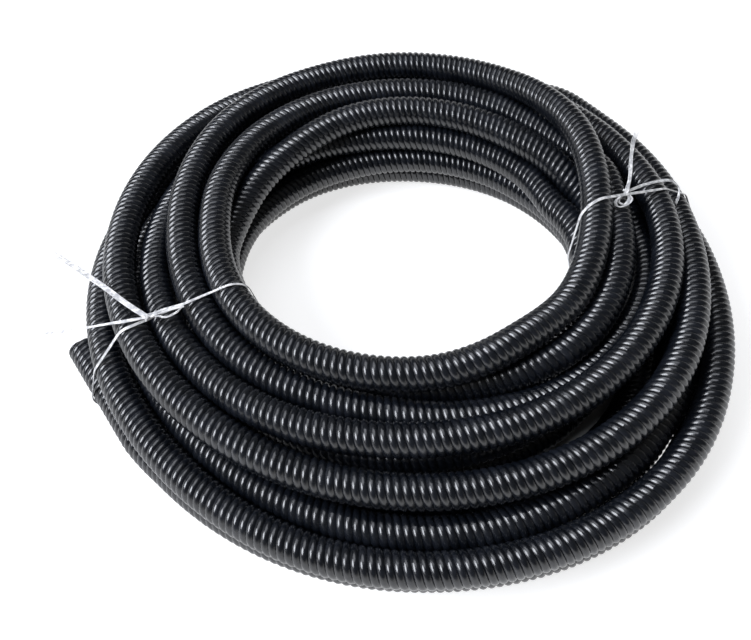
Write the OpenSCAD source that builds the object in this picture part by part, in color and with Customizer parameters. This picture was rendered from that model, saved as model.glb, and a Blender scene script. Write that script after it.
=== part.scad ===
// A coil of corrugated conduit, lying flat and held by two twine ties.
// The coil's axis is +Z, the floor is z = 0, and +Y is the side away from the free end's mouth.

/* [Conduit] */
// Outside diameter over the ribs
od = 25; // [16:0.5:40]
// Inside diameter of the bore
bore_d = 20; // [10:0.5:34]
// Distance from one rib to the next
rib_pitch = 5.5; // [3:0.1:9]
// Height of a rib above the bottom of the groove
rib_h = 1.7; // [0.8:0.1:2.2]

/* [Coil] */
// Radius of the innermost turn of the bottom layer, at the middle of the conduit
inner_r = 148; // [120:1:220]
// Turns in the bottom layer
bottom_turns = 5; // [4:1:7]
// Gap between neighbouring turns of one layer
turn_gap = 0; // [0:0.1:1.2]
// Gap between the turns of one layer and those of the next, which rest on each other here and there
layer_gap = 0.6; // [0.4:0.1:1.5]
// How far every other layer sits outwards, as a share of one turn
layer_lean = 0.36; // [0.3:0.02:0.5]
// Gap that keeps the first turn clear of the rest of the bottom layer
first_gap = 0.7; // [0.5:0.1:1]
// How far the turn across the top reaches past the innermost and outermost turns below it
crossing_over = 7.5; // [0:0.5:10]
// How far the turn across the top leans over to one side, in degrees
crossing_tilt = 2.4; // [1:0.1:3]

/* [Free end] */
// Angle round the coil at which the free end leaves it, anticlockwise from +X
leave_angle = 216; // [190:1:240]
// Length of conduit that stands clear of the coil
free_len = 105; // [90:1:180]
// Depth of the open bore in the free end
open_len = 60; // [30:1:80]

/* [Ties] */
// Thickness of the twine pulled tight
twine_d = 1.6; // [1:0.1:3]
// Clearance between the twine and the ribs
twine_clear = 0.3; // [0.2:0.05:0.6]
// Diameter of a knot
knot_d = 5.4; // [4:0.1:8]

/* [Hidden] */
$fn = 64;

turn_step = od + turn_gap;
layer_rise = sqrt(pow(od + layer_gap, 2) - pow(layer_lean * turn_step, 2));
// Each layer upwards: how many turns it has fewer than the bottom one, and how far it sits outwards
LAYERS = [[0, 0], [0, layer_lean], [-1, 0]];
TOP = len(LAYERS) - 1;
// The first turn runs round the outside of the bottom layer, then bends inwards and climbs under the next layer
first_turn_r = inner_r + (bottom_turns - 2) * turn_step + od + first_gap;
FIRST_TURN_ANGLE = 300;
climb_r = 150;
CLIMB_TURN = 60;
CLIMB_SLOPE = 10;
// The turn across the top lies off the coil's middle, so it crosses from the inner turns to the outer ones and back
CROSSING_TOWARDS = 112;
CROSSING_UPHILL = -30;
CROSSING_SINK = 0.5;
// The space between the turns that is filled, in the middle of a layer
GROOVE_FILL = 6;

function layer_z(k) = od / 2 + k * layer_rise;
function first_r(k) = inner_r + LAYERS[k][1] * turn_step;
function last_turn(k) = bottom_turns + LAYERS[k][0] - 1;
function turn_r(k, j) = first_r(k) + j * turn_step;
function middle(k, j) = [turn_r(k, j), layer_z(k)];
function ahead(angle) = [cos(angle), sin(angle)];
crossing_r = (turn_r(TOP, 0) + turn_r(TOP, last_turn(TOP))) / 2;
crossing_middle = (crossing_r + crossing_over - turn_r(TOP, 0)) * ahead(CROSSING_TOWARDS);
crossing_z = layer_z(TOP) + od - CROSSING_SINK;
function crossing_height(p) = crossing_z + (p - crossing_middle) * ahead(CROSSING_UPHILL) * tan(crossing_tilt);

// The rib's arc reaches from groove to groove
rib_r = (pow(rib_pitch / 2, 2) + pow(rib_h, 2)) / (2 * rib_h);

// Twine: the loop round the coil's section, its knot and its tails
ARC_STEP = 18;
tie_reach = od / 2 + twine_d / 2 + twine_clear;
tie_low = twine_d / 2 + twine_clear;
TIE_LEFT_ANGLE = 207;
TIE_RIGHT_ANGLE = 11;
// The free end leaves on a straight line, so the left tie meets it further out and on a slant
free_turn_r = first_turn_r / cos(leave_angle - TIE_LEFT_ANGLE) + twine_clear;
// Each tie's knot, as its distance from the coil's axis, and how far the tie is turned from a radius
KNOT_LEFT_R = 205;
KNOT_RIGHT_R = 183;
SLANT_LEFT = 0;
SLANT_RIGHT = 19;
// The tails, as steps away from their knot
TAILS_LEFT = [
    [[1.2, -0.4, 0.4], [-23, 18, 4], [-50, 42, 3], [-77, 64, -2], [-98, 80, -9]],
    [[-0.4, 1.2, 0], [-20, -1, 2], [-43, 0, -2], [-65, 3, -12], [-86, 6, -24]]
];
TAILS_RIGHT = [
    [[-0.4, 0.4, 0.4], [4, 14, 6], [8, 34, 11], [14, 54, 13]],
    [[1, -0.6, 0], [16, 8, 3], [38, 20, 2], [50, 16, 0]]
];

function unit(v) = v / norm(v);
// Where a line from start meets the far side of a turn: how far off, how high, and how much wider the slant makes it
function crossing(start, way, centre, r, z) = let (q = start - centre, b = q * way, h = sqrt(b * b - q * q + r * r))
    [h - b, z, r / h];
function corner_arc(c, a0, a1) = let (n = ceil((a1 - a0 - 2) / ARC_STEP))
    [for (i = [0 : n]) let (a = n == 0 ? a0 : a0 + (a1 - a0) * i / n, b = atan2(sin(a), c[2] * cos(a)))
        [c[0] + tie_reach * c[2] * cos(b), max(c[1] + tie_reach * sin(b), tie_low)]];
function normal_angle(p, q) = atan2(p[0] - q[0], q[1] - p[1]);
function forward(a, b) = b < a - 1 ? b + 360 : b;
// The points of a list that a tight loop touches, anticlockwise
function side(a, b, c) = (b[0] - a[0]) * (c[1] - a[1]) - (b[1] - a[1]) * (c[0] - a[0]);
function next_touched(points, p) =
    [for (q = points) if (q != p && min([for (o = points) side(p, q, o)]) >= 0) q][0];
function touched(points, found) = let (q = next_touched(points, found[len(found) - 1]))
    q == found[0] ? found : touched(points, concat(found, [q]));
// The tight loop round a ring of turns, given their middles anticlockwise
function tie_loop(c) = [for (i = [0 : len(c) - 1])
    let (before = c[(i + len(c) - 1) % len(c)], after = c[(i + 1) % len(c)],
         a0 = normal_angle(before, c[i]), a1 = normal_angle(c[i], after))
    each corner_arc(c[i], a0, forward(a0, a1))];

// The outermost turns where a tie crosses them, seen along the tie with its knot at 0
function tie_turns(angle, slant, knot_r, low_r) =
    let (knot = knot_r * ahead(angle), way = ahead(angle + slant),
         over = crossing(knot, way, crossing_middle, crossing_r, 0)[0])
    concat(
        [for (k = [0 : TOP], j = [0, last_turn(k)])
            crossing(knot, way, [0, 0], k == 0 && j > 0 ? low_r : turn_r(k, j), layer_z(k))],
        [crossing(knot, way, crossing_middle, crossing_r, crossing_height(knot + over * way))]
    );
// Height of the loop at its knot
function top_at_knot(c) = [for (i = [0 : len(c) - 1]) let (p = c[i], q = c[(i + 1) % len(c)])
    if (q[0] < 0 && p[0] >= 0) let (s = (q[1] - p[1]) / (q[0] - p[0])) p[1] - s * p[0] + tie_reach * sqrt(1 + s * s)][0];

// A round strand of radius r swept along a path; up is a direction that the path never takes
module strand(path, r, up, closed = false) {
    n = len(path);
    rings = [for (i = [0 : n - 1])
        let (p = path[closed ? (i + n - 1) % n : max(i - 1, 0)], q = path[closed ? (i + 1) % n : min(i + 1, n - 1)],
             t = unit(q - p), u = unit(cross(t, up)), v = cross(u, t))
        for (a = [0 : 45 : 315]) path[i] + r * (cos(a) * u + sin(a) * v)];
    last = closed ? n - 1 : n - 2;
    sides = [for (i = [0 : last], k = [0 : 7]) let (j = (i + 1) % n, m = (k + 1) % 8)
        each [[i * 8 + k, j * 8 + m, j * 8 + k], [i * 8 + k, i * 8 + m, j * 8 + m]]];
    ends = closed ? [] : [[for (k = [7 : -1 : 0]) k], [for (k = [0 : 7]) (n - 1) * 8 + k]];
    polyhedron(points = rings, faces = concat(sides, ends));
}

module tie(angle, slant, knot_r, low_r, tails) {
    turns = tie_turns(angle, slant, knot_r, low_r);
    corners = touched(turns, [turns[0]]);
    color([0.92, 0.93, 0.94]) translate(knot_r * ahead(angle)) {
        rotate(angle + slant) rotate([90, 0, 0])
            strand([for (p = tie_loop(corners)) [p[0], p[1], 0]], twine_d / 2, [0, 0, 1], true);
        translate([0, 0, top_at_knot(corners)]) {
            for (tail = tails) strand(tail, twine_d / 2, [0, 0, 1]);
            rotate(angle + slant)
                strand([for (s = [-1 : 1]) [0, s * knot_d / 2, (knot_d - twine_d) / 2]], knot_d / 2, [0, 0, 1]);
        }
    }
}

module tie_left() {
    tie(TIE_LEFT_ANGLE, SLANT_LEFT, KNOT_LEFT_R, free_turn_r, TAILS_LEFT);
}

module tie_right() {
    tie(TIE_RIGHT_ANGLE, SLANT_RIGHT, KNOT_RIGHT_R, first_turn_r, TAILS_RIGHT);
}

// The valley between two ribs that a tie lies in under the coil
module tie_valley(angle, slant, knot_r) {
    translate(knot_r * ahead(angle)) rotate(angle + slant)
        translate([inner_r - od - knot_r, -rib_pitch / 2, -1])
            cube([free_turn_r - inner_r + 2 * od, rib_pitch, 1 + tie_low + twine_d / 2 + twine_clear]);
}

// Every turn of the layers but the first, with the space between the turns filled
module coil_section() {
    for (k = [0 : TOP]) {
        last = last_turn(k) - (k == 0 ? 1 : 0);
        for (j = [0 : last]) translate(middle(k, j)) circle(d = od);
        translate([turn_r(k, 0), layer_z(k) - GROOVE_FILL / 2]) square([last * turn_step, GROOVE_FILL]);
    }
    inside = turn_r(1, 0);
    for (k = [1 : TOP]) translate([inside, layer_z(k - 1)])
        square([turn_r(0, last_turn(0) - 1) - inside, layer_rise]);
}

// One of the last turns, lying across the top of the others
module crossing_turn() {
    translate(crossing_middle) translate([0, 0, crossing_z])
        rotate(CROSSING_UPHILL) rotate([0, -crossing_tilt, 0]) turn(crossing_r, 360);
}

module turn(radius, angle) {
    rotate_extrude(angle = angle, $fn = 180) translate([radius, 0]) circle(d = od);
}

// The first turn, from where the free end begins to where it is lost under the second layer
module first_turn() {
    rotate(leave_angle) translate([0, 0, od / 2]) {
        turn(first_turn_r, FIRST_TURN_ANGLE);
        rotate(FIRST_TURN_ANGLE) translate([first_turn_r, 0, 0]) {
            rotate([0, CLIMB_SLOPE, 0]) translate([-climb_r, 0, 0]) turn(climb_r, CLIMB_TURN);
            rotate([90, 0, 0]) cylinder(d = od - rib_h, h = rib_pitch, center = true);
        }
    }
}

module rib_section(length) {
    square([od / 2 - rib_h, length]);
    intersection() {
        square([od / 2, length]);
        for (i = [0 : ceil(length / rib_pitch)])
            translate([od / 2 - rib_r, (i + 0.5) * rib_pitch]) circle(r = rib_r);
    }
}

module at_free_end() {
    rotate(leave_angle) translate([first_turn_r, 0, od / 2]) rotate([90, 0, 0]) children();
}

module conduit() {
    color([0.06, 0.06, 0.07]) difference() {
        union() {
            rotate_extrude($fn = 180) coil_section();
            crossing_turn();
            first_turn();
            at_free_end() rotate_extrude() rib_section(free_len);
        }
        at_free_end() translate([0, 0, free_len - open_len]) cylinder(d = bore_d, h = open_len + 1);
        tie_valley(TIE_LEFT_ANGLE, SLANT_LEFT, KNOT_LEFT_R);
        tie_valley(TIE_RIGHT_ANGLE, SLANT_RIGHT, KNOT_RIGHT_R);
    }
}

conduit();
tie_left();
tie_right();
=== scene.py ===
# %% [markdown]
# # A coil of corrugated conduit
# Corrugated conduit is a thin plastic tube with ribs, which electricians pull cables through.
# It is sold as a coil: about fourteen turns wound by hand, held by two ties of white twine.
# This lesson lays one centreline for the whole coil, bends a straight ribbed tube along it,
# and then ties it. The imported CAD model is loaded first, because the pieces made here take the
# place of its solids and stay inside its box.

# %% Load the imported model
import math
import random

import bmesh
import bpy
import numpy as np
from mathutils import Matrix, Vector


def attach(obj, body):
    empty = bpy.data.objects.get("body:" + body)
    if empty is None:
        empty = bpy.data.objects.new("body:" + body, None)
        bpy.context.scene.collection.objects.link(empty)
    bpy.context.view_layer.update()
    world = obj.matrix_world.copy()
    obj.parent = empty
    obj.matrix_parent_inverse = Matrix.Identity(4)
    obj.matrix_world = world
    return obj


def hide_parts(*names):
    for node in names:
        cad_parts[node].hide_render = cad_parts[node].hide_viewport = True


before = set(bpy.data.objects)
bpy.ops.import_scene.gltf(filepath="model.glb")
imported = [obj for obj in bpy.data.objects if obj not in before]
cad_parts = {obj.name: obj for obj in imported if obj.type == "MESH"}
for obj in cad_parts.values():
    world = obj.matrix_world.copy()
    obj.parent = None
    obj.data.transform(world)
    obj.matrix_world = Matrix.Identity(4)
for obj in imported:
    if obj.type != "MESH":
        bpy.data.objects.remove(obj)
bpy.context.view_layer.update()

# %% [markdown]
# ## The camera
# It stands in front of the coil and looks down on it at about fifty degrees, close enough for
# the near turns to look clearly larger than the far ones. The lens is a little longer than normal.

# %% Camera
CAMERA_AT = (0.0, -0.453, 0.543)
LOOKING_DOWN = math.radians(51.65)
lens = bpy.data.cameras.new("camera")
lens.sensor_width = 36.0
lens.lens = 39.2
lens.shift_x = -0.0446
camera = bpy.data.objects.new("camera", lens)
camera.location = CAMERA_AT
camera.rotation_euler = (math.pi / 2 - LOOKING_DOWN, 0.0, 0.0)
bpy.context.collection.objects.link(camera)
bpy.context.scene.camera = camera
print("camera at", CAMERA_AT)

# %% [markdown]
# ## The winding
# A coil wound by hand is not a neat stack: each turn settles into the valleys between others,
# and one of the last turns crosses over the rest. So every turn gets eight stations, 45 degrees
# apart, and each station says how far from the axis the turn lies and how high, counted in
# conduit diameters. The turns are listed in the order in which they were wound, anticlockwise
# from the free end. A smooth curve runs through all the stations.

# %% Winding chart
CONDUIT_D = 0.025
STATIONS = ["front left", "front", "front right", "right",
            "back right", "back", "back left", "left"]
FIRST_STATION = 225.0
STATION_STEP = 45.0
ON_FLOOR = 0.5
WINDING = [
    # The bottom layer, wound inwards on the floor
    [(9.68, 0.50), (9.90, 0.50), (10.30, 0.50), (9.58, 0.50),
     (9.30, 0.50), (9.30, 0.50), (9.45, 0.50), (9.35, 0.50)],
    [(8.65, 0.50), (8.90, 0.50), (9.29, 0.50), (8.60, 0.50),
     (8.30, 0.50), (8.25, 0.50), (8.50, 0.50), (8.45, 0.50)],
    [(7.70, 0.50), (7.90, 0.50), (8.24, 0.50), (7.60, 0.50),
     (7.30, 0.50), (7.20, 0.50), (7.50, 0.50), (7.60, 0.50)],
    [(6.75, 0.50), (6.92, 0.50), (6.90, 0.50), (6.60, 0.50),
     (6.27, 0.50), (6.13, 0.50), (6.50, 0.50), (6.70, 0.50)],
    [(6.15, 0.60), (5.97, 0.50), (5.92, 0.55), (5.95, 1.35),
     (5.80, 1.40), (5.70, 1.50), (6.00, 1.45), (6.30, 1.45)],
    # The inner wall climbs
    [(6.30, 1.50), (6.15, 1.50), (5.90, 1.50), (5.80, 2.30),
     (5.68, 2.35), (5.80, 2.40), (6.30, 2.20), (6.90, 1.60)],
    [(7.10, 1.60), (7.10, 1.70), (6.60, 1.60), (6.55, 2.05),
     (5.85, 3.10), (6.00, 3.20), (6.05, 2.75), (6.00, 2.30)],
    # The top layer, wound outwards, with its second turn crossing over at the right
    [(5.50, 2.20), (5.50, 2.55), (6.32, 3.10), (6.60, 3.30),
     (7.10, 3.10), (7.60, 3.00), (7.10, 3.20), (6.10, 3.35)],
    [(5.78, 3.50), (5.66, 3.61), (5.60, 3.66), (5.79, 3.85),
     (7.33, 3.90), (9.07, 3.12), (8.50, 3.15), (7.15, 3.20)],
    [(6.62, 2.95), (6.30, 2.65), (6.95, 2.45), (7.50, 2.20),
     (7.90, 2.20), (8.40, 2.10), (8.50, 2.20), (8.08, 2.50)],
    [(7.60, 2.80), (7.35, 3.05), (7.60, 3.10), (8.10, 3.20),
     (8.60, 2.80), (9.52, 2.15), (9.72, 2.60), (9.14, 2.85)],
    [(8.58, 2.68), (8.50, 2.40), (9.00, 2.70), (8.92, 2.65),
     (9.60, 2.05), (9.90, 1.50), (9.80, 1.50), (9.83, 1.60)],
    # The outside, and the end tucked away inside the bundle
    [(9.70, 1.50), (10.20, 1.50), (10.42, 1.60), (9.58, 1.70),
     (9.60, 1.35), (9.10, 1.40), (8.90, 1.40), (9.00, 1.50)],
    [(8.75, 1.45), (9.25, 1.40), (9.35, 1.50), (8.70, 1.50),
     (8.10, 1.40), (7.60, 1.40), (7.40, 1.40), (7.30, 1.40)],
]
stations = np.array([place for turn in WINDING for place in turn])
print(len(WINDING), "turns of", len(STATIONS), "stations each")

# %% A smooth line through the stations
STEPS = 20
TURN_STEPS = STEPS * len(STATIONS)


def smooth_through(places, steps):
    """Points of a curve that passes through every place and leaves it towards the next but one."""
    before, after = 2 * places[0] - places[1], 2 * places[-1] - places[-2]
    held = np.vstack([before, places, after])
    share = np.linspace(0, 1, steps, endpoint=False)[:, None]
    runs = []
    for a, b, c, d in zip(held, held[1:], held[2:], held[3:]):
        bend = (
            (c - a) * share
            + (2 * a - 5 * b + 4 * c - d) * share**2
            + (3 * (b - c) + d - a) * share**3
        )
        runs.append(b + 0.5 * bend)
    return np.vstack(runs + [places[-1:]])


section = smooth_through(stations, STEPS)
radius, height = section[:, 0].copy(), section[:, 1].copy()
print("points on the winding:", len(radius))

# %% [markdown]
# ## Settling the turns
# Two real turns can't share the same space, and none can sink into the floor. In each pass, turns
# that come closer than a diameter push each other apart, every turn is drawn back towards its
# station, and a little smoothing keeps the bends as gentle as stiff conduit makes them. These
# pulls never quite balance, so neighbouring turns still overlap here and there, nearly always by
# less than the height of a rib. The last turn is not a whole one, so it is filled up with points
# that lie too far off to push anything.

# %% Settle
PASSES = 220
DRAW_BACK = 0.05
STIFFNESS = 0.25
PUSH = 0.8
TOO_FAR = 100.0
LEAST_GAP = 1e-6


def settle(radius, height):
    """Both lines after the turns have pushed each other apart."""
    wanted = radius.copy(), height.copy()
    turns = -(-len(radius) // TURN_STEPS)
    filler = np.full(turns * TURN_STEPS - len(radius), TOO_FAR)
    itself = np.arange(turns)
    for _ in range(PASSES):
        for line, target in zip((radius, height), wanted):
            line[1:-1] += STIFFNESS * ((line[:-2] + line[2:]) / 2 - line[1:-1])
            line += DRAW_BACK * (target - line)
        out = np.concatenate([radius, filler]).reshape(turns, TURN_STEPS)
        up = np.concatenate([height, filler]).reshape(turns, TURN_STEPS)
        across, above = out[:, None] - out[None], up[:, None] - up[None]
        apart = np.maximum(np.hypot(across, above), LEAST_GAP)
        push = PUSH / 2 * np.clip(1.0 - apart, 0.0, None) / apart
        push[itself, itself] = 0.0
        radius += (push * across).sum(axis=1).reshape(-1)[:len(radius)]
        height += (push * above).sum(axis=1).reshape(-1)[:len(height)]
        np.maximum(height, ON_FLOOR, out=height)
    return radius, height


radius, height = settle(radius, height)
angle = np.radians(FIRST_STATION + np.arange(len(radius)) * STATION_STEP / STEPS)
print("highest centre, in diameters:", round(float(height.max()), 2))

# %% [markdown]
# ## The free end
# The first turn starts as a short straight length, which lies on the floor and points away from
# the coil at the left. It leaves the coil along the tangent at 216 degrees.

# %% Centreline
LEAVES_AT = math.radians(216.3)
LEAVES_FROM = 9.91
FREE_LENGTH = 4.15
FREE_STEPS = 40
LEAD_STEPS = 4


def around(angle, radius, height):
    """Points at these angles, distances from the axis and heights."""
    return np.column_stack([radius * np.cos(angle), radius * np.sin(angle), height])


def step_lengths(points):
    """How long each step of a line is."""
    return np.linalg.norm(np.diff(points, axis=0), axis=1)


def run_of(points):
    """How far along a line each of its points lies."""
    return np.concatenate([[0], np.cumsum(step_lengths(points))])


def points_at(distance, run, points):
    """The places on a line at these distances from its start."""
    return np.column_stack([np.interp(distance, run, points[:, axis]) for axis in range(3)])


tangent = np.array([math.sin(LEAVES_AT), -math.cos(LEAVES_AT), 0.0])
corner = np.array([
    LEAVES_FROM * math.cos(LEAVES_AT), LEAVES_FROM * math.sin(LEAVES_AT), ON_FLOOR,
])
straight = corner + tangent * np.linspace(FREE_LENGTH, 0, FREE_STEPS, endpoint=False)[:, None]
lead = around(
    np.linspace(LEAVES_AT, math.radians(FIRST_STATION), LEAD_STEPS, endpoint=False),
    np.linspace(LEAVES_FROM, radius[0], LEAD_STEPS, endpoint=False),
    np.full(LEAD_STEPS, ON_FLOOR),
)
line = np.vstack([straight, lead, around(angle, radius, height)]) * CONDUIT_D
gone = run_of(line)
print("conduit length in metres:", round(float(gone[-1]), 2))


# %% [markdown]
# ## One rib
# The ribs of this conduit lean: they run round the tube as a steep screw of three threads, each
# a rounded crest with a tight groove beside it. Spinning a rib's outline once round the axis,
# while it moves forward by three pitches, makes one thread turn. Its last edge meets the first
# edge of the third thread turn after it, so an Array modifier makes a closed tube of them.
# Only the edges down in the groove are sharp.

# %% Rib outline
RIB_PITCH = 0.0055
RIB_HEIGHT = 0.0014
THREADS = 3
WALL = 0.0009
SIDES = 20
SEGMENTS = 6
CREST_SHARE = 0.9
CREST_RADIUS = ((RIB_PITCH / 2) ** 2 + RIB_HEIGHT**2) / (2 * RIB_HEIGHT)
GROOVE_ANGLE = math.asin(RIB_PITCH / 2 / CREST_RADIUS)


def rib(outer_radius):
    """One turn of the thread, starting at x = 0."""
    cell = bmesh.new()
    outline = []
    for i in range(SEGMENTS + 1):
        lean = GROOVE_ANGLE * (2 * i / SEGMENTS - 1)
        across = RIB_PITCH / 2 + CREST_RADIUS * math.sin(lean)
        up = outer_radius - CREST_RADIUS * (1 - math.cos(lean))
        outline.append(cell.verts.new((across, 0, up)))
    edges = [cell.edges.new(pair) for pair in zip(outline, outline[1:])]
    bmesh.ops.spin(
        cell, geom=outline + edges, cent=(0, 0, 0), axis=(1, 0, 0),
        dvec=(THREADS * RIB_PITCH / SIDES, 0, 0), angle=2 * math.pi, steps=SIDES,
        use_merge=False, use_duplicate=False,
    )
    bmesh.ops.recalc_face_normals(cell, faces=cell.faces)
    crest = outer_radius - CREST_SHARE * RIB_HEIGHT
    for edge in cell.edges:
        edge.smooth = any(v.co.yz.length > crest for v in edge.verts)
    return cell


sample = rib(CONDUIT_D / 2)
print("faces in one rib:", len(sample.faces))
sample.free()

# %% A straight ribbed tube
RIB_MERGE = 1e-5
SEAM_MERGE = 1e-6


def new_object(name, data):
    made = bpy.data.objects.new(name, data)
    bpy.context.collection.objects.link(made)
    return made


def finished_mesh(made):
    """The object's mesh with its modifiers applied. The object itself is removed."""
    graph = bpy.context.evaluated_depsgraph_get()
    mesh = bpy.data.meshes.new_from_object(made.evaluated_get(graph), depsgraph=graph)
    bpy.data.objects.remove(made)
    return mesh


def ribbed_tube(outer_radius, ribs, start):
    """A straight tube of so many ribs along +X from start, as a bmesh."""
    cell = rib(outer_radius)
    bmesh.ops.translate(cell, verts=cell.verts, vec=(start, 0, 0))
    mesh = bpy.data.meshes.new("rib")
    cell.to_mesh(mesh)
    cell.free()
    made = new_object("tube", mesh)
    row = made.modifiers.new("ribs", "ARRAY")
    row.count = ribs
    row.use_relative_offset = False
    row.use_constant_offset = True
    row.constant_offset_displace = (RIB_PITCH, 0, 0)
    row.use_merge_vertices = True
    row.merge_threshold = RIB_MERGE
    tube = bmesh.new()
    tube.from_mesh(finished_mesh(made))
    bmesh.ops.remove_doubles(tube, verts=tube.verts, dist=SEAM_MERGE)
    bmesh.ops.recalc_face_normals(tube, faces=tube.faces)
    return tube


# %% [markdown]
# ## The open end and the hidden end
# The free end is cut off square, so it shows a thin wall and a ribbed bore. The tube is made a few
# ribs too long and sliced by a plane. The same tube, one wall thickness smaller, lines the bore,
# and the two cut edges are bridged into the rim. The other end lies inside the bundle, so it is
# sliced and closed.

# %% Cutting the ends
BORE_RIBS = 17
SPARE_RIBS = THREADS + 1
CUT_SNAP = 1e-7
ON_CUT = 1e-6


def slice_off(tube, at, keep_beyond):
    """Cut the tube square at x = at, and return the edges of the cut."""
    geom = tube.verts[:] + tube.edges[:] + tube.faces[:]
    cut = bmesh.ops.bisect_plane(
        tube, geom=geom, dist=CUT_SNAP, plane_co=(at, 0, 0), plane_no=(1, 0, 0),
        clear_inner=keep_beyond, clear_outer=not keep_beyond,
    )
    return [part for part in cut["geom_cut"] if isinstance(part, bmesh.types.BMEdge)]


def open_end(tube):
    """Give the tube a square rim at x = 0 and a lining one wall thickness inside."""
    slice_off(tube, 0, True)
    lining = ribbed_tube(CONDUIT_D / 2 - WALL, BORE_RIBS, -SPARE_RIBS * RIB_PITCH)
    slice_off(lining, 0, True)
    bore_end = slice_off(lining, (BORE_RIBS - SPARE_RIBS - 2) * RIB_PITCH, False)
    bmesh.ops.holes_fill(lining, edges=bore_end, sides=0)
    bmesh.ops.reverse_faces(lining, faces=lining.faces)
    shell = bpy.data.meshes.new("lining")
    lining.to_mesh(shell)
    lining.free()
    tube.from_mesh(shell)
    bpy.data.meshes.remove(shell)
    mouth = [
        edge for edge in tube.edges
        if edge.is_boundary and all(abs(v.co.x) < ON_CUT for v in edge.verts)
    ]
    bmesh.ops.bridge_loops(tube, edges=mouth)


# %% [markdown]
# ## Bending it along the centreline
# A Curve modifier carries the straight tube onto the winding. It squeezes the ribs together on
# the inside of each bend and spreads them on the outside, as the real conduit does. The length
# is shared between several pieces, so that none has too many faces, and each starts at the rib
# where the last one stopped. A piece ends on a slant, like its ribs.

# %% Lay the conduit
PIECES = 5
curve = bpy.data.curves.new("centreline", "CURVE")
curve.dimensions = "3D"
curve.twist_mode = "Z_UP"
spline = curve.splines.new("POLY")
spline.points.add(len(line) - 1)
spline.points.foreach_set("co", np.column_stack([line, np.ones(len(line))]).ravel())
centreline = new_object("centreline", curve)
all_ribs = int(gone[-1] / RIB_PITCH) - SPARE_RIBS
shares = [round(all_ribs * i / PIECES) for i in range(PIECES + 1)]
print("ribs in all:", all_ribs)


def lay(name, first, last):
    """The ribs from first to last, bent along the centreline."""
    if first == 0:
        tube = ribbed_tube(CONDUIT_D / 2, last + SPARE_RIBS, -SPARE_RIBS * RIB_PITCH)
        open_end(tube)
    else:
        tube = ribbed_tube(CONDUIT_D / 2, last - first, first * RIB_PITCH)
    if last == all_ribs:
        closed = slice_off(tube, (last - 1) * RIB_PITCH, False)
        bmesh.ops.holes_fill(tube, edges=closed, sides=0)
    mesh = bpy.data.meshes.new(name)
    tube.to_mesh(mesh)
    tube.free()
    bent = new_object(name + "_straight", mesh)
    bend = bent.modifiers.new("bend", "CURVE")
    bend.object = centreline
    bend.deform_axis = "POS_X"
    done = finished_mesh(bent)
    done.name = name
    done.polygons.foreach_set("use_smooth", [True] * len(done.polygons))
    return new_object(name, done)


conduit = []
for i, (first, last) in enumerate(zip(shares, shares[1:])):
    piece = lay(f"conduit_{i + 1}", first, last)
    conduit.append(piece)
    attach(piece, "root")
    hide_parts("conduit")
bpy.data.objects.remove(centreline)

# %% [markdown]
# ## Twine
# The ties are split film: a flat white tape of plastic that has been slit into fibres. Each tie
# is drawn as a few thin fibres side by side, which spread at the ends. A tie goes tight round
# the whole bundle, so its loop is the outline that an elastic band would take: the convex hull
# of the turns where they pass under it. The lowest turns rest on the floor and leave no room
# for a loop below them, so it is kept just above the floor and cuts through their ribs there.

# %% Where a tie crosses the turns
TWINE_CLEAR = 0.0009
TWINE_REACH = CONDUIT_D / 2 + TWINE_CLEAR
FLOOR_CLEAR = 0.0010
ROUND_STEPS = 32
MICRON_DIGITS = 6


def crossings(start, end):
    """Where turns pass an upright wall: how far along it, how high, and how much wider."""
    span = np.linalg.norm(end - start)
    along = (end - start) / span
    side = np.array([-along[1], along[0]])
    off, reach = (line[:, :2] - start) @ side, (line[:, :2] - start) @ along
    found = []
    for i in np.nonzero(off[:-1] * off[1:] < 0)[0]:
        share = off[i] / (off[i] - off[i + 1])
        run = reach[i] + share * (reach[i + 1] - reach[i])
        if 0 < run < span:
            step = line[i + 1] - line[i]
            stretch = np.linalg.norm(step[:2]) / abs(step[:2] @ side)
            found.append((run, line[i, 2] + share * step[2], stretch))
    return along, found


def turns_left(a, b, c):
    """Whether the way from a by b to c bends to the left."""
    return (b[0] - a[0]) * (c[1] - b[1]) > (b[1] - a[1]) * (c[0] - b[0])


def outline(points):
    """The convex hull of points in a plane, anticlockwise."""
    ordered = sorted(set(map(tuple, points)))
    halves = []
    for run in (ordered, ordered[::-1]):
        half = []
        for p in run:
            while len(half) > 1 and not turns_left(half[-2], half[-1], p):
                half.pop()
            half.append(p)
        halves += half[:-1]
    return halves


def loop_round(start, end):
    """The tight loop of a tie that stands on a line from start to end, seen from above."""
    start, end = np.array(start), np.array(end)
    along, found = crossings(start, end)
    rims = []
    for run, up, stretch in found:
        for turn in np.linspace(0, 2 * math.pi, ROUND_STEPS, endpoint=False):
            out = float(run + TWINE_REACH * stretch * math.cos(turn))
            over = float(max(up + TWINE_REACH * math.sin(turn), FLOOR_CLEAR))
            rims.append((round(out, MICRON_DIGITS), round(over, MICRON_DIGITS)))
    return np.array([(*(start + along * run), up) for run, up in outline(rims)])


# %% Fibres
random.seed(7)
FIBRE_D = 0.0006
SWAY, SWAY_TURN = 0.2, 17
BOB, BOB_TURN = 0.35, 13
FRAY_FROM = 0.5
THIN_FROM, THIN_END = 0.8, 0.6
MOST_MISSING = 2


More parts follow.
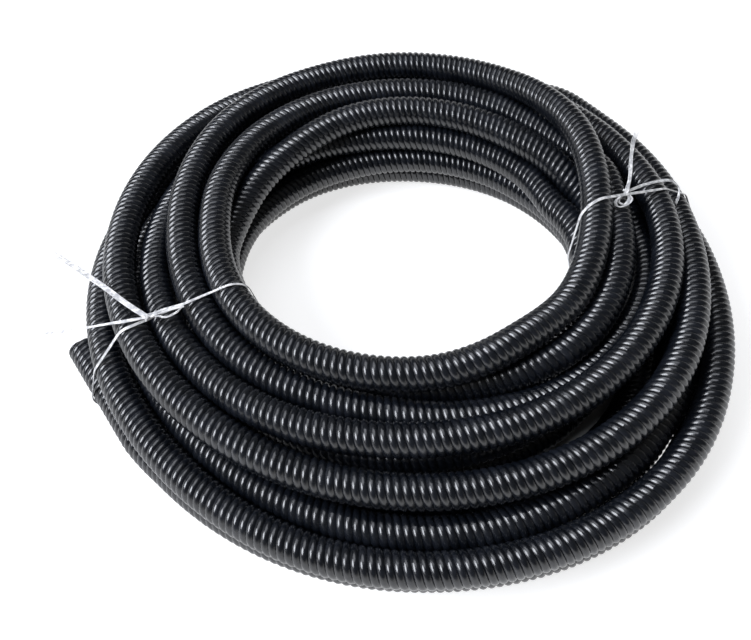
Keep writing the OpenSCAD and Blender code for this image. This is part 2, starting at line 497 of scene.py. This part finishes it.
def fibres(name, route, count, width, side, closed=False, fray=0.0):
    """Count fibres along a route, side by side over a width. Fray opens the last part.

    Each fibre sways and bobs a little, by a share of its diameter. Where the tape frays, the
    fibres get thinner and all but the outer two may stop a point or two early.
    """
    route = np.array(route)
    shape = bpy.data.curves.new(name, "CURVE")
    shape.dimensions = "3D"
    shape.bevel_depth = FIBRE_D / 2
    shape.bevel_resolution = 1
    shape.use_fill_caps = True
    side = np.array(side, float) / np.linalg.norm(side)
    rise = np.cross(side, np.gradient(route, axis=0))
    rise /= np.maximum(np.linalg.norm(rise, axis=1), 1e-9)[:, None]
    share = np.linspace(0, 1, len(route))
    opening = 1 + fray * np.clip((share - FRAY_FROM) / (1 - FRAY_FROM), 0, 1) ** 2
    thinning = np.interp(share, [0, THIN_FROM, 1], [1, 1, THIN_END if fray else 1])
    for k in range(count):
        place = (k - (count - 1) / 2) / max(count - 1, 1)
        wave = random.uniform(0, 2 * math.pi)
        shift = place * width * opening + FIBRE_D * SWAY * np.sin(share * SWAY_TURN + wave)
        lift = FIBRE_D * BOB * np.cos(share * BOB_TURN + wave * 2) * (1 + fray * share)
        points = route + side * shift[:, None] + rise * lift[:, None]
        whole = not fray or k in (0, count - 1)
        last = len(points) - (0 if whole else random.randint(0, MOST_MISSING))
        strand = shape.splines.new("POLY")
        strand.points.add(last - 1)
        places = np.column_stack([points, np.ones(len(points))])
        strand.points.foreach_set("co", places[:last].ravel())
        strand.points.foreach_set("radius", thinning[:last])
        strand.use_cyclic_u = closed
        strand.use_smooth = True
    return shape


def as_piece(name, shapes):
    """Several curves as one mesh."""
    joined = bmesh.new()
    for shape in shapes:
        mesh = finished_mesh(new_object(name + "_curve", shape))
        joined.from_mesh(mesh)
        bpy.data.meshes.remove(mesh)
    data = bpy.data.meshes.new(name)
    joined.to_mesh(data)
    joined.free()
    return new_object(name, data)


# %% Routes drawn in millimetres
MM = 1000
DRAWN_STEPS = 8
CLOSED_GAP = 0.001
BOW_SIDE = (0.4, -0.7, 0.6)


def drawn(points):
    """A smooth route through points that are given."""
    return smooth_through(np.array(points, float) / MM, DRAWN_STEPS)


def flat_side(route):
    """The way across a tape that lies flat along a route. A closed bow stands on its edge."""
    ahead = route[-1] - route[0]
    return (-ahead[1], ahead[0], 0.0) if np.linalg.norm(ahead) > CLOSED_GAP else BOW_SIDE


# %% [markdown]
# ## The two ties
# Each has a loop, a small hard knot on top of the bundle, and loose tails. The left tie was
# doubled before it was pulled tight, so a second, wider bundle leaves its knot. The right one
# has a crumpled bow under its knot. The tails are stiff enough to stand out, so they are
# declared as short cords of their own, a little thinner than the tape is wide.

# %% Plan of the ties
# The wall that a loop stands in is in metres. The rest is in millimetres, and each bundle and
# tail is a route, a number of fibres and a width.
TIES = {
    "tie_left": {
        "wall": [(-0.100, -0.0600), (-0.280, -0.1240)],
        "knot": (-186.0, -91.0, 88.5),
        "bundles": [
            ([(-185.5, -90, 88.5), (-178, -87.5, 90), (-170, -85, 91), (-161, -82, 91.5)], 7, 3.4),
            ([(-185.5, -90, 88.5), (-179, -90, 89), (-172, -91, 89), (-166, -88, 90),
              (-161, -82, 91.5)], 3, 1.2),
        ],
        "tails": [
            ([(-186, -91, 89), (-201, -81, 90), (-218, -67, 89), (-235, -53, 87), (-255, -36, 83),
              (-276, -18, 77)], 9, 3.6),
            ([(-186, -91, 88.5), (-199, -94, 88.5), (-213, -93, 84), (-230, -89, 75),
              (-247, -85, 66), (-261, -82, 60), (-276, -80, 55)], 5, 1.9),
        ],
    },
    "tie_right": {
        "wall": [(0.118, -0.0080), (0.262, 0.0700)],
        "knot": (170.5, 24.0, 103.0),
        "bundles": [
            ([(170.5, 24, 102), (166, 20, 101), (162, 17, 99), (163, 13, 97), (169, 13, 98),
              (174, 18, 100), (170.5, 24, 102)], 7, 3.0),
            ([(170.5, 24, 102), (172, 18, 100), (168, 14, 98.5), (164, 17, 99),
              (170.5, 24, 102)], 5, 2.2),
        ],
        "tails": [
            ([(170.5, 24, 103), (173, 31, 107), (176, 45, 109), (179, 60, 110), (183, 75, 109.5),
              (189, 90, 108.5)], 5, 2.3),
            ([(170.5, 24, 102), (178, 29, 101), (188, 37, 98), (200, 43, 96), (211, 46, 94),
              (219, 45, 89), (220, 40, 83), (217, 35, 79)], 5, 2.2),
        ],
    },
}

# %% Tie them
LOOP_POINTS, LOOP_FIBRES, LOOP_WIDTH = 170, 5, 0.0017
KNOT_POINTS, KNOT_FIBRES, KNOT_WIDTH, KNOT_SIZE = 48, 4, 0.0013, 0.0030
KNOT_SPREAD, KNOT_DEPTH = 0.30, 0.35
KNOT_SIDE = (0.2, 0.1, 1)
TAIL_FRAY = 0.5


def knot(name, centre):
    """A small overhand knot, pulled tight and flattened."""
    turn = np.linspace(0, 2 * math.pi, KNOT_POINTS + 1)[:-1]
    path = np.column_stack([
        (np.sin(turn) + 2 * np.sin(2 * turn)) * KNOT_SPREAD,
        (np.cos(turn) - 2 * np.cos(2 * turn)) * KNOT_SPREAD,
        -np.sin(3 * turn) * KNOT_DEPTH,
    ])
    route = np.array(centre) / MM + path * KNOT_SIZE
    return fibres(name, route, KNOT_FIBRES, KNOT_WIDTH, KNOT_SIDE, closed=True)


def tie(name, plan):
    """The pieces of one tie: its loop, knot and bundles together, then each tail."""
    start, end = plan["wall"]
    loop = loop_round(start, end)
    closed = np.vstack([loop, loop[:1]])
    far = run_of(closed)
    path = points_at(np.linspace(0, far[-1], LOOP_POINTS, endpoint=False), far, closed)
    across = (start[1] - end[1], end[0] - start[0], 0)
    shapes = [
        fibres(name, path, LOOP_FIBRES, LOOP_WIDTH, across, closed=True),
        knot(name, plan["knot"]),
    ]
    for points, count, width in plan["bundles"]:
        route = drawn(points)
        shapes.append(fibres(name, route, count, width / MM, flat_side(route)))
    pieces = [as_piece(name.replace("tie", "twine"), shapes)]
    for i, (points, count, width) in enumerate(plan["tails"]):
        route = drawn(points)
        tape = fibres(name, route, count, width / MM, flat_side(route), fray=TAIL_FRAY)
        tail = as_piece(f"{pieces[0].name}_tail_{i + 1}", [tape])
        pieces.append(tail)
    for piece in pieces:
        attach(piece, "root")
        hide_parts(name)
        piece.data.polygons.foreach_set("use_smooth", [True] * len(piece.data.polygons))
    print(name, "loop length:", round(float(far[-1]), 3))
    return pieces


twine = [piece for name, plan in TIES.items() for piece in tie(name, plan)]

# %% [markdown]
# ## Finishes
# The conduit is glossy black plastic. Fresh from the extruder its ribs are smooth, but a coil
# that has been handled has a fine haze, so its tone and its gloss vary a little. The film of
# the ties is white with greyer flecks. Both patterns follow object coordinates, so they stay
# with their pieces.

# %% Helpers for materials


NOISE_MIDDLE = (0.35, 0.65)


def material(name):
    """A new material, with its nodes, its links and its shader."""
    made = bpy.data.materials.new(name)
    made.use_nodes = True
    nodes = made.node_tree.nodes
    return made, nodes, made.node_tree.links, nodes["Principled BSDF"]


def mapped(nodes, links, value, taken, given):
    """A value, spread from the range that is taken to the range that is given."""
    spread = nodes.new("ShaderNodeMapRange")
    spread.inputs["From Min"].default_value, spread.inputs["From Max"].default_value = taken
    spread.inputs["To Min"].default_value, spread.inputs["To Max"].default_value = given
    links.new(value, spread.inputs["Value"])
    return spread.outputs["Result"]


def noise(nodes, links, place, scale, detail, given, taken=NOISE_MIDDLE):
    """A noise on object coordinates, spread over the range that is given."""
    cloud = nodes.new("ShaderNodeTexNoise")
    cloud.inputs["Scale"].default_value = scale
    cloud.inputs["Detail"].default_value = detail
    links.new(place.outputs["Object"], cloud.inputs["Vector"])
    return mapped(nodes, links, cloud.outputs["Fac"], taken, given)


def two_tones(nodes, links, dark, pale, share):
    """A colour that a value mixes from a dark and a pale one."""
    tone = nodes.new("ShaderNodeMix")
    tone.data_type = "RGBA"
    tone.inputs["A"].default_value = (*dark, 1)
    tone.inputs["B"].default_value = (*pale, 1)
    links.new(share, tone.inputs["Factor"])
    return tone.outputs["Result"]


def dress(pieces, finish):
    """Give each piece this finish and no other."""
    for piece in pieces:
        piece.data.materials.clear()
        piece.data.materials.append(finish)
    print(finish.name, "on", len(pieces), "pieces")


# %% Conduit plastic
plastic, nodes, links, shader = material("black_conduit_plastic")
place = nodes.new("ShaderNodeTexCoord")
haze = noise(nodes, links, place, 60, 6, (0, 1), taken=(0.45, 0.8))
tone = two_tones(nodes, links, (0.0030, 0.0041, 0.0066), (0.0120, 0.0142, 0.0200), haze)
links.new(tone, shader.inputs["Base Color"])
links.new(noise(nodes, links, place, 140, 5, (0.21, 0.29)), shader.inputs["Roughness"])
shader.inputs["IOR"].default_value = 1.66
bump = nodes.new("ShaderNodeBump")
bump.inputs["Strength"].default_value = 0.06
bump.inputs["Distance"].default_value = 0.0004
links.new(noise(nodes, links, place, 170, 2, (0, 1)), bump.inputs["Height"])
links.new(bump.outputs["Normal"], shader.inputs["Normal"])
dress(conduit, plastic)

# %% Twine plastic
film, nodes, links, shader = material("white_split_film")
place = nodes.new("ShaderNodeTexCoord")
flecks = noise(nodes, links, place, 260, 5, (0, 1), taken=(0.40, 0.58))
tone = two_tones(nodes, links, (0.52, 0.52, 0.53), (0.90, 0.89, 0.88), flecks)
links.new(tone, shader.inputs["Base Color"])
links.new(noise(nodes, links, place, 900, 3, (0.3, 0.5)), shader.inputs["Roughness"])
shader.inputs["Subsurface Weight"].default_value = 0.15
shader.inputs["Subsurface Radius"].default_value = (0.002, 0.002, 0.002)
dress(twine, film)

# %% [markdown]
# ## Studio
# The coil lies on a white floor, lit by a large soft light from the left, like a window, and a
# weaker one overhead, with the surroundings kept dark enough for black plastic to stay black.
# Only a pale band round the horizon and the floor itself show white, also in reflections. The
# floor's white is partly a glow of its own, which gets stronger further off. It leaves out a
# ring under the bundle as painted shade, so that the floor doesn't shine up through the gaps
# between the turns. Elsewhere the floor takes a faint shadow.

# %% Floor
FLOOR_SIZE = 8
FLOOR_SINK = 0.0002
GLOW_NEAR, GLOW_FAR = (0.4, 0.72), (1.6, 1.0)
# Painted shade under the bundle: a ring of this radius where the floor's glow is left out, fading
# back in over these distances from it.
SHADE_RING_RADIUS = 0.200
SHADE_RING_EDGE = (0.030, 0.043)


def calculated(nodes, links, operation, *values):
    """A Math node on values that are sockets or plain numbers."""
    made = nodes.new("ShaderNodeMath")
    made.operation = operation
    for value, socket in zip(values, made.inputs):
        if isinstance(value, float):
            socket.default_value = value
        else:
            links.new(value, socket)
    return made.outputs["Value"]


floor_shape = bmesh.new()
bmesh.ops.create_grid(floor_shape, x_segments=1, y_segments=1, size=FLOOR_SIZE)
bmesh.ops.translate(floor_shape, verts=floor_shape.verts, vec=(0, 0, -FLOOR_SINK))
floor_mesh = bpy.data.meshes.new("floor")
floor_shape.to_mesh(floor_mesh)
floor_shape.free()
floor = new_object("floor", floor_mesh)
paper, nodes, links, shader = material("white_paper")
shader.inputs["Base Color"].default_value = (0.55, 0.55, 0.55, 1)
shader.inputs["Roughness"].default_value = 0.9
shader.inputs["Specular IOR Level"].default_value = 0.0
shader.inputs["Emission Color"].default_value = (1, 1, 1, 1)
floor_mesh.materials.append(paper)

# %% The floor's glow
rays = nodes.new("ShaderNodeLightPath").outputs
seen = calculated(nodes, links, "MAXIMUM", rays["Is Camera Ray"], rays["Is Glossy Ray"])
seen = calculated(nodes, links, "MAXIMUM", seen, rays["Is Transmission Ray"])
place = nodes.new("ShaderNodeTexCoord")
far = nodes.new("ShaderNodeVectorMath")
far.operation = "LENGTH"
links.new(place.outputs["Object"], far.inputs[0])
far = far.outputs["Value"]
# The glow is left out in a ring under the bundle, as painted shade under the turns.
off_shade_ring = calculated(nodes, links, "SUBTRACT", far, SHADE_RING_RADIUS)
off_shade_ring = calculated(nodes, links, "ABSOLUTE", off_shade_ring)
outside_painted_shade = mapped(nodes, links, off_shade_ring, SHADE_RING_EDGE, (0.0, 1.0))
paleness = mapped(nodes, links, far, *zip(GLOW_NEAR, GLOW_FAR))
glow = calculated(nodes, links, "MULTIPLY", outside_painted_shade, paleness)
glow = calculated(nodes, links, "MULTIPLY", seen, glow)
links.new(glow, shader.inputs["Emission Strength"])

# %% Lights
DAYLIGHT = (0.90, 0.93, 1.0)
COIL_MIDDLE = (0, 0, 0.05)


def soft_light(name, place, size, watts):
    """A round lamp that faces the coil."""
    lamp = bpy.data.lights.new(name, "AREA")
    lamp.shape = "DISK"
    lamp.size = size
    lamp.energy = watts
    lamp.color = DAYLIGHT
    made = new_object(name, lamp)
    made.location = place
    ahead = Vector(COIL_MIDDLE) - Vector(place)
    made.rotation_euler = ahead.to_track_quat("-Z", "Y").to_euler()


soft_light("window", (-1.45, -0.75, 1.52), 1.3, 56)
soft_light("ceiling", (-0.35, 0.45, 2.2), 2.0, 24)

# %% Surroundings
PALE_UP_TO, DARK_FROM = (0.14, 1.0), (0.26, 0.08)

world = bpy.data.worlds.new("world")
bpy.context.scene.world = world
world.use_nodes = True
nodes, links = world.node_tree.nodes, world.node_tree.links
sky = nodes["Background"]
sky.inputs["Color"].default_value = (1, 1, 1, 1)
way = nodes.new("ShaderNodeTexCoord")
parts = nodes.new("ShaderNodeSeparateXYZ")
links.new(way.outputs["Generated"], parts.inputs["Vector"])
band = mapped(nodes, links, parts.outputs["Z"], *zip(PALE_UP_TO, DARK_FROM))
links.new(band, sky.inputs["Strength"])
bpy.context.scene.view_settings.view_transform = "Standard"
